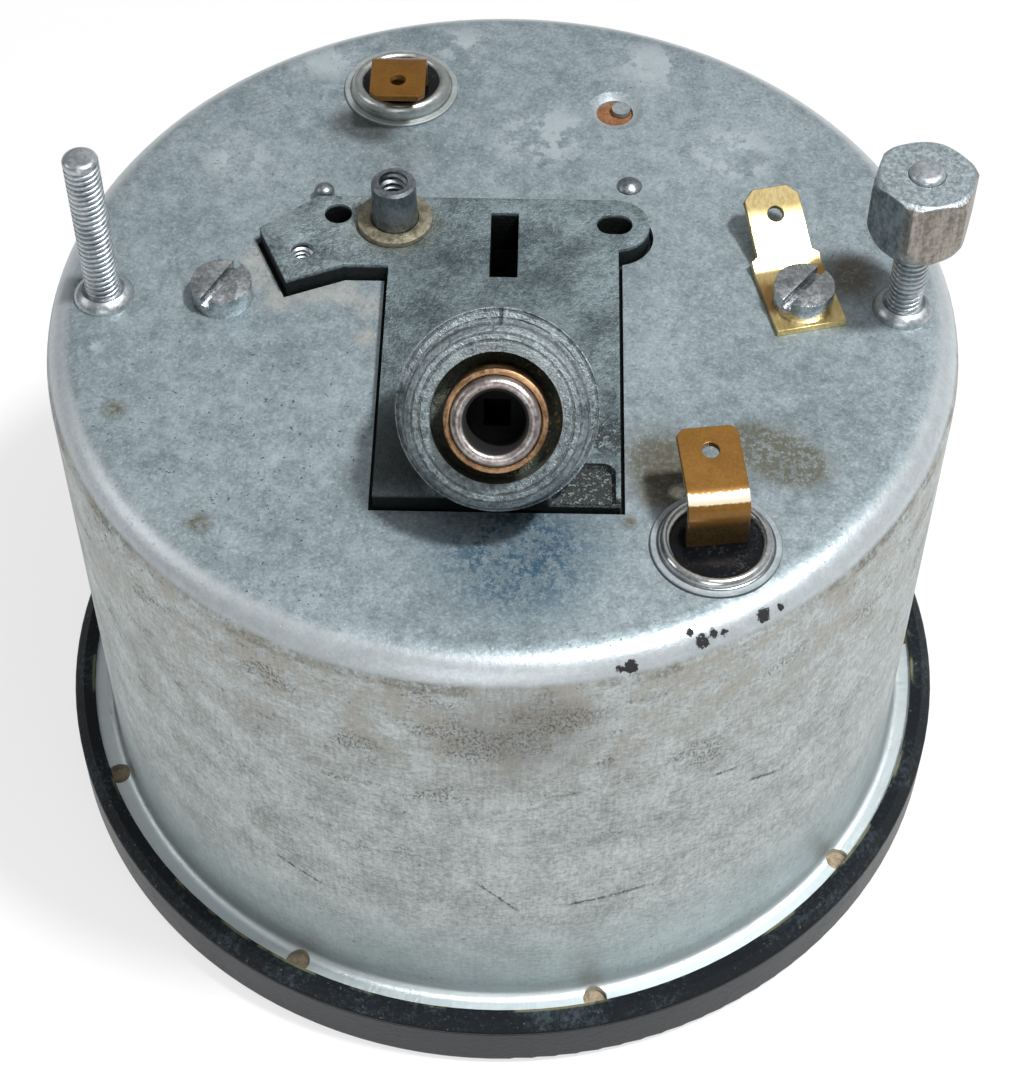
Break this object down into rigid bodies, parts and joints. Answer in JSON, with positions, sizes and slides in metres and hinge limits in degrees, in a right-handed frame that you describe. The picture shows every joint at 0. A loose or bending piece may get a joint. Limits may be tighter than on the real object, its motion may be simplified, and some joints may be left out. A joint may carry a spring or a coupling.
{
  "type": "vintage speedometer",
  "caption": "Round dashboard speedometer in a deep zinc-plated case with a black bezel, inclined threaded drive boss, mounting studs, lamp holders, pointer movement and geared counters.",
  "frame": {"origin": "centre of the bezel's front face, on which the instrument rests", "axes": "+Z from the bezel front to the case back, -Y towards the side that the drive boss leans to"},
  "size_m": [0.1104, 0.1104, 0.0919],
  "materials": {
    "zinc_sheet": "zinc plated, mottled",
    "bezel_black": "worn black lacquer",
    "glass": "clear",
    "rubber": "matte",
    "cork": "brown fibre",
    "bright_steel": "zinc plated",
    "nut_alloy": "dull",
    "dark_steel": "oxidised",
    "yellow_brass": "bright",
    "chrome": "bright",
    "bakelite": "black",
    "copper": "brown lacquered",
    "clear_glass": "clear",
    "fibre": "brown fibre",
    "zinc_cast": "rough die casting",
    "bronze": "oiled",
    "magnet_steel": "dark",
    "cup_alloy": "spun",
    "pointer_red": "satin",
    "dial_black": "satin",
    "drum_black": "satin",
    "tan_bush": "greasy"
  },
  "bodies": {
    "instrument": {"case": "zinc_sheet", "bezel": "bezel_black", "lens": "glass", "lens_seal": "rubber", "rim_gasket": "cork", "mounting_studs": "bright_steel", "frame_screws": "dark_steel", "earth_terminal": "yellow_brass", "lamp_sleeves": "chrome", "lamp_insulators": "bakelite", "upper_lamp_tab": "copper", "lower_lamp_tab": "copper", "lamp_caps": "yellow_brass", "lamp_bulbs": "clear_glass", "case_rivets": "dark_steel", "sight_disc": "fibre", "movement_frame": "zinc_cast", "drive_bush": "bronze", "spindle_bush": "bronze", "staff_bush": "bronze", "hairspring": "bronze", "frame_pillars": "bright_steel", "front_plate": "yellow_brass", "plate_screws": "dark_steel", "dial": "dial_black", "dial_posts": "bright_steel", "dial_screws": "dark_steel", "odometer_frame": "yellow_brass", "trip_frame": "yellow_brass", "reset_bush": "tan_bush"},
    "nut": {"stud_nut": "nut_alloy"},
    "drive": {"drive_shaft": "dark_steel", "drive_bevel": "yellow_brass"},
    "spindle_set": {"spindle": "bright_steel", "spindle_bevel": "yellow_brass", "magnet": "magnet_steel", "flux_ring": "dark_steel"},
    "pointer_set": {"speed_cup": "cup_alloy", "cup_staff": "bright_steel", "pointer": "pointer_red", "pointer_cap": "drum_black"},
    "cross_set": {"cross_shaft": "bright_steel"},
    "odometer_lay": {"odometer_layshaft": "yellow_brass"},
    "trip_lay": {"trip_layshaft": "yellow_brass"},
    "odometer_units": {"odometer_shaft": "bright_steel", "odometer_drum_1": "drum_black"},
    "trip_units": {"trip_shaft": "bright_steel", "trip_drum_1": "drum_black"},
    "reset_stub": {"reset_spindle": "dark_steel"},
    "reset_post": {"reset_arbor": "dark_steel"},
    "reset_clutch": {"reset_wheel": "yellow_brass"},
    "odometer_ring_2": {"odometer_drum_2": "drum_black"},
    "odometer_ring_3": {"odometer_drum_3": "drum_black"},
    "odometer_ring_4": {"odometer_drum_4": "drum_black"},
    "odometer_ring_5": {"odometer_drum_5": "drum_black"},
    "trip_ring_2": {"trip_drum_2": "drum_black"},
    "trip_ring_3": {"trip_drum_3": "drum_black"}
  },
  "joints": [
    {"name": "nut_travel", "type": "slide", "parent": "instrument", "child": "nut", "axis": [0, 0, 1], "range_m": [-0.0095, 0.0095]},
    {"name": "drive_spin", "type": "hinge", "parent": "instrument", "child": "drive", "pos_m": [0, 0, 0.0593], "axis": [0, -0.7431, 0.6691], "continuous": true},
    {"name": "spindle_spin", "type": "hinge", "parent": "instrument", "child": "spindle_set", "pos_m": [0, 0, 0.0432], "axis": [0, 0, 1], "continuous": true},
    {"name": "pointer_sweep", "type": "hinge", "parent": "instrument", "child": "pointer_set", "pos_m": [0, 0, 0.0112], "axis": [0, 0, 1], "range_deg": [0, 250], "stiffness_Nm_per_rad": 0.0002, "springref_deg": -20.05, "deforming": ["hairspring"]},
    {"name": "cross_spin", "type": "hinge", "parent": "instrument", "child": "cross_set", "pos_m": [0.0063, 0, 0.0432], "axis": [0, 1, 0], "continuous": true},
    {"name": "odometer_lay_spin", "type": "hinge", "parent": "instrument", "child": "odometer_lay", "pos_m": [0.0126, -0.0137, 0.0432], "axis": [0, 0, 1], "continuous": true},
    {"name": "trip_lay_spin", "type": "hinge", "parent": "instrument", "child": "trip_lay", "pos_m": [0.0126, 0.0107, 0.0432], "axis": [0, 0, 1], "continuous": true},
    {"name": "odometer_spin", "type": "hinge", "parent": "instrument", "child": "odometer_units", "pos_m": [0, -0.02, 0.0186], "axis": [1, 0, 0], "continuous": true},
    {"name": "trip_spin", "type": "hinge", "parent": "instrument", "child": "trip_units", "pos_m": [0, 0.017, 0.0186], "axis": [1, 0, 0], "continuous": true},
    {"name": "odometer_ring_2_spin", "type": "hinge", "parent": "instrument", "child": "odometer_ring_2", "pos_m": [0, -0.02, 0.0186], "axis": [1, 0, 0], "continuous": true},
    {"name": "odometer_ring_3_spin", "type": "hinge", "parent": "instrument", "child": "odometer_ring_3", "pos_m": [0, -0.02, 0.0186], "axis": [1, 0, 0], "continuous": true},
    {"name": "odometer_ring_4_spin", "type": "hinge", "parent": "instrument", "child": "odometer_ring_4", "pos_m": [0, -0.02, 0.0186], "axis": [1, 0, 0], "continuous": true},
    {"name": "odometer_ring_5_spin", "type": "hinge", "parent": "instrument", "child": "odometer_ring_5", "pos_m": [0, -0.02, 0.0186], "axis": [1, 0, 0], "continuous": true},
    {"name": "trip_ring_2_spin", "type": "hinge", "parent": "instrument", "child": "trip_ring_2", "pos_m": [0, 0.017, 0.0186], "axis": [1, 0, 0], "continuous": true},
    {"name": "trip_ring_3_spin", "type": "hinge", "parent": "instrument", "child": "trip_ring_3", "pos_m": [0, 0.017, 0.0186], "axis": [1, 0, 0], "continuous": true},
    {"name": "reset_spin", "type": "hinge", "parent": "instrument", "child": "reset_stub", "pos_m": [-0.0122, 0.0101, 0.0735], "axis": [0, 0, 1], "continuous": true},
    {"name": "reset_post_spin", "type": "hinge", "parent": "instrument", "child": "reset_post", "pos_m": [-0.022, 0.017, 0.0432], "axis": [0, 0, 1], "continuous": true},
    {"name": "reset_clutch_spin", "type": "hinge", "parent": "instrument", "child": "reset_clutch", "pos_m": [-0.022, 0.017, 0.0186], "axis": [1, 0, 0], "continuous": true}
  ],
  "couplings": [
    {"joint": "spindle_spin", "follows": "drive_spin", "ratio": 1},
    {"joint": "cross_spin", "follows": "drive_spin", "ratio": -0.1},
    {"joint": "odometer_lay_spin", "follows": "drive_spin", "ratio": -0.01},
    {"joint": "trip_lay_spin", "follows": "drive_spin", "ratio": -0.01},
    {"joint": "odometer_spin", "follows": "drive_spin", "ratio": 0.001},
    {"joint": "trip_spin", "follows": "drive_spin", "ratio": -0.001},
    {"joint": "odometer_ring_2_spin", "follows": "drive_spin", "ratio": 0.0001},
    {"joint": "odometer_ring_3_spin", "follows": "drive_spin", "ratio": 0.00001},
    {"joint": "odometer_ring_4_spin", "follows": "drive_spin", "ratio": 0.000001},
    {"joint": "odometer_ring_5_spin", "follows": "drive_spin", "ratio": 0.0000001},
    {"joint": "trip_ring_2_spin", "follows": "drive_spin", "ratio": -0.0001},
    {"joint": "trip_ring_3_spin", "follows": "drive_spin", "ratio": -0.00001},
    {"joint": "reset_post_spin", "follows": "reset_spin", "ratio": -1},
    {"joint": "reset_clutch_spin", "follows": "reset_spin", "ratio": 1}
  ]
}
